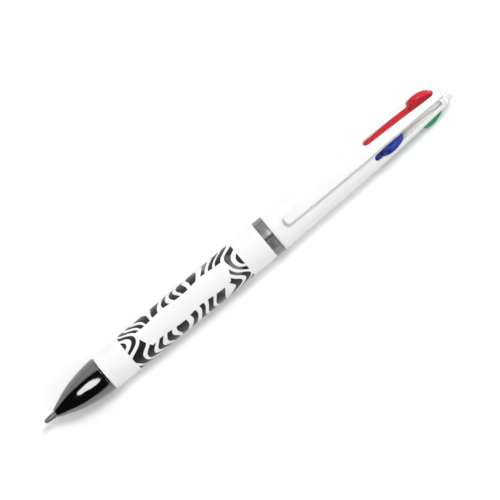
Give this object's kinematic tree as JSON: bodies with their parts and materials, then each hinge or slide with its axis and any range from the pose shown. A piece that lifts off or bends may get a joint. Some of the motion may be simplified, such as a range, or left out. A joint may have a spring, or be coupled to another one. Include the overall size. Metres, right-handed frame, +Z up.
{
  "type": "multicolor click pen",
  "caption": "Slim white click pen with coloured thumb sliders around its upper barrel, a long clip, a steel ring, a dark metal nose and one refill pushed out.",
  "frame": {"origin": "middle of the pen's length, under the pen axis, at the lowest point of the trim ring", "axes": "+X from the writing tip to the crown; +Z up through the clip; +Y to the side of the red slider"},
  "size_m": [0.1435, 0.0114, 0.0132],
  "materials": {
    "white_plastic": "gloss moulded, printed with dark waves on the lower barrel",
    "gunmetal_plate": "polished dark plating",
    "ring_steel": "polished turned ring",
    "red_plastic": "satin gloss moulded",
    "blue_plastic": "satin gloss moulded",
    "green_plastic": "satin gloss moulded",
    "black_plastic": "satin gloss moulded",
    "inner_plastic": "natural moulded",
    "spring_steel": "bright drawn wire",
    "tube_plastic": "translucent extruded",
    "ink_red": "wet ink",
    "ink_blue": "wet ink",
    "ink_green": "wet ink",
    "ink_black": "wet ink",
    "tip_metal": "turned nickel silver",
    "ball_carbide": "polished hard ball"
  },
  "bodies": {
    "pen_body": {"upper_barrel": "white_plastic", "trim_ring": "ring_steel", "crown_cap": "white_plastic", "latch_core": "inner_plastic", "spring_seat": "inner_plastic", "spring_red": "spring_steel", "spring_blue": "spring_steel", "spring_green": "spring_steel", "spring_black": "spring_steel"},
    "lower_section": {"lower_barrel": "white_plastic", "nose_cone": "gunmetal_plate"},
    "clip": {"clip": "white_plastic"},
    "red_slider": {"slider_red": "red_plastic"},
    "red_refill": {"refill_tube_red": "tube_plastic", "ink_red": "ink_red", "refill_tip_red": "tip_metal"},
    "red_ball": {"tip_ball_red": "ball_carbide"},
    "blue_slider": {"slider_blue": "blue_plastic"},
    "blue_refill": {"refill_tube_blue": "tube_plastic", "ink_blue": "ink_blue", "refill_tip_blue": "tip_metal"},
    "blue_ball": {"tip_ball_blue": "ball_carbide"},
    "green_slider": {"slider_green": "green_plastic"},
    "green_refill": {"refill_tube_green": "tube_plastic", "ink_green": "ink_green", "refill_tip_green": "tip_metal"},
    "green_ball": {"tip_ball_green": "ball_carbide"},
    "black_slider": {"slider_black": "black_plastic"},
    "black_refill": {"refill_tube_black": "tube_plastic", "ink_black": "ink_black", "refill_tip_black": "tip_metal"},
    "black_ball": {"tip_ball_black": "ball_carbide"}
  },
  "joints": [
    {"name": "red_slide", "type": "slide", "parent": "pen_body", "child": "red_slider", "axis": [-0.9993, -0.0226, -0.03], "range_m": [0, 0.01331], "stiffness_N_per_m": 60, "springref_m": -0.01, "deforming": ["spring_red", "refill_tube_red", "ink_red", "refill_tip_red", "tip_ball_red"]},
    {"name": "red_refill_flex", "type": "hinge", "parent": "red_slider", "child": "red_refill", "pos_m": [0.03225, 0.00175, 0.00802], "axis": [0, -0.7986, 0.6018], "range_deg": [0, 1.01]},
    {"name": "red_ball_roll", "type": "hinge", "parent": "red_refill", "child": "red_ball", "pos_m": [-0.05798, 0.00127, 0.00738], "axis": [0, 0.7986, -0.6018], "continuous": true},
    {"name": "blue_slide", "type": "slide", "parent": "pen_body", "child": "blue_slider", "axis": [0.9993, -0.0226, 0.03], "range_m": [0, 0.01331], "deforming": ["spring_blue", "refill_tube_blue", "ink_blue", "refill_tip_blue", "tip_ball_blue"]},
    {"name": "blue_refill_flex", "type": "hinge", "parent": "blue_slider", "child": "blue_refill", "pos_m": [0.01895, -0.00144, 0.00762], "axis": [0, 0.7986, 0.6018], "range_deg": [0, 1.01]},
    {"name": "blue_ball_roll", "type": "hinge", "parent": "blue_refill", "child": "blue_ball", "pos_m": [-0.07125, -0.00001, 0.00571], "axis": [0, 0.7986, 0.6018], "continuous": true},
    {"name": "green_slide", "type": "slide", "parent": "pen_body", "child": "green_slider", "axis": [-0.9993, 0.0256, 0.0275], "range_m": [0, 0.01331], "stiffness_N_per_m": 60, "springref_m": -0.01, "deforming": ["spring_green", "refill_tube_green", "ink_green", "refill_tip_green", "tip_ball_green"]},
    {"name": "green_refill_flex", "type": "hinge", "parent": "green_slider", "child": "green_refill", "pos_m": [0.03225, -0.00198, 0.00358], "axis": [0, 0.7314, -0.682], "range_deg": [0, 1.01]},
    {"name": "green_ball_roll", "type": "hinge", "parent": "green_refill", "child": "green_ball", "pos_m": [-0.05798, -0.00144, 0.00416], "axis": [0, -0.7314, 0.682], "continuous": true},
    {"name": "black_slide", "type": "slide", "parent": "pen_body", "child": "black_slider", "axis": [-0.9993, -0.0256, 0.0275], "range_m": [0, 0.01331], "stiffness_N_per_m": 60, "springref_m": -0.01, "deforming": ["spring_black", "refill_tube_black", "ink_black", "refill_tip_black", "tip_ball_black"]},
    {"name": "black_refill_flex", "type": "hinge", "parent": "black_slider", "child": "black_refill", "pos_m": [0.03225, 0.00198, 0.00358], "axis": [0, 0.7314, 0.682], "range_deg": [0, 1.01]},
    {"name": "black_ball_roll", "type": "hinge", "parent": "black_refill", "child": "black_ball", "pos_m": [-0.05798, 0.00144, 0.00416], "axis": [0, -0.7314, -0.682], "continuous": true},
    {"name": "clip_flex", "type": "hinge", "parent": "pen_body", "child": "clip", "pos_m": [0.06815, 0, 0.0091], "axis": [0, 1, 0], "range_deg": [0, 4], "stiffness_Nm_per_rad": 0.02},
    {"name": "barrel_off", "type": "slide", "parent": "pen_body", "child": "lower_section", "axis": [-1, 0, 0], "range_m": [0, 0.085]}
  ],
  "couplings": [
    {"joint": "red_refill_flex", "follows": "red_slide", "rad_per_m": 1.3252},
    {"joint": "blue_refill_flex", "follows": "blue_slide", "rad_per_m": 1.3252},
    {"joint": "green_refill_flex", "follows": "green_slide", "rad_per_m": 1.3252},
    {"joint": "black_refill_flex", "follows": "black_slide", "rad_per_m": 1.3252}
  ]
}
